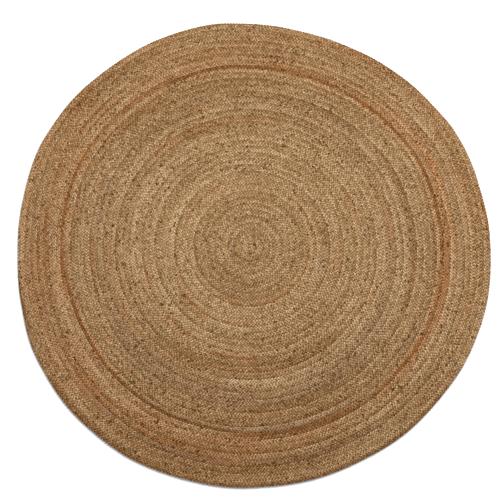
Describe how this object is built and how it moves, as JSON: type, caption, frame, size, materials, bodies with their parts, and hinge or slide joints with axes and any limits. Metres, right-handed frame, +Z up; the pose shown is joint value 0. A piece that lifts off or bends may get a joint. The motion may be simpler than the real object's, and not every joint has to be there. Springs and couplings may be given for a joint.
{
  "type": "round jute rug",
  "caption": "Round flat floor rug of plaited natural jute, coiled from the middle and sewn row to row, with a slightly uneven hand-laid edge.",
  "frame": {"origin": "on the floor, under the middle of the rug's bounding box", "axes": "+Z up through the rug's thickness, out of its face; +X to the right and +Y away from the viewer as the picture shows it"},
  "size_m": [1.4998, 1.4998, 0.01],
  "materials": {
    "jute_braid": "rough, undyed plaited jute yarn with soft stray fibres"
  },
  "bodies": {
    "root": {"braided_rug": "jute_braid"}
  },
  "joints": []
}
